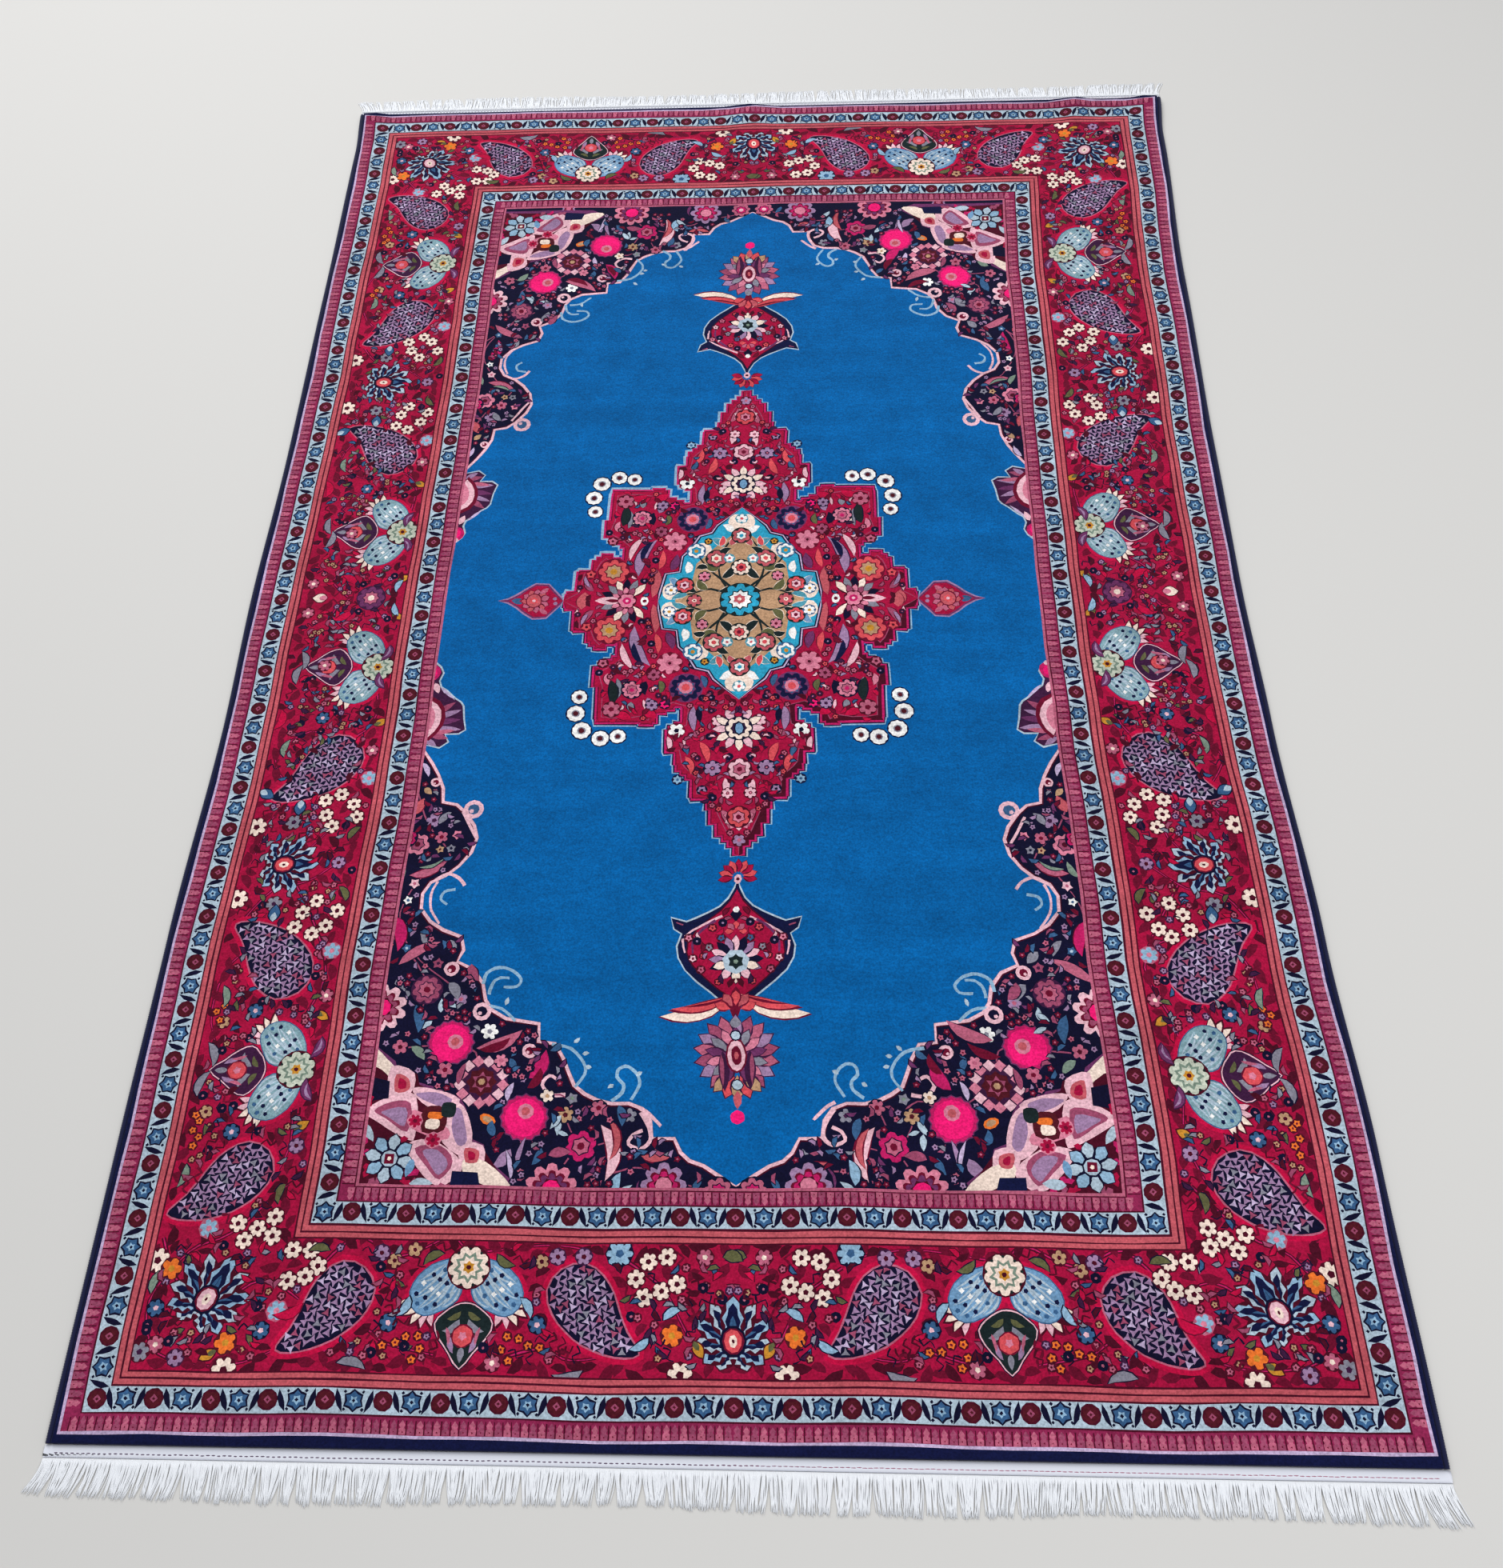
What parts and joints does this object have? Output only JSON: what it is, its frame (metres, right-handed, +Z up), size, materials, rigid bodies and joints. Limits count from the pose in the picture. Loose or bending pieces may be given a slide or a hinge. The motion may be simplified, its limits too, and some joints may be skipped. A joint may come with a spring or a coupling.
{
  "type": "persian rug",
  "caption": "Flat hand-knotted wool rug with a blue medallion field, a crimson border, overcast side edges, woven end webs and cotton fringes.",
  "frame": {"origin": "on the floor under the middle of the rug", "axes": "+Y along the rug's length to its far end, +X to its right, +Z up out of the pile"},
  "size_m": [1.3863, 2.2086, 0.013],
  "materials": {
    "pile_wool": "short cut wool pile, soft sheen",
    "navy_wool": "overcast wool yarn, matt",
    "web_cotton": "plain-woven cotton, matt",
    "fringe_cotton": "loose cotton yarn, matt"
  },
  "bodies": {
    "root": {"pile_carpet": "pile_wool", "selvedge_left": "navy_wool", "selvedge_right": "navy_wool", "end_web_near": "web_cotton", "end_web_far": "web_cotton", "fringe_near": "fringe_cotton", "fringe_far": "fringe_cotton"}
  },
  "joints": []
}
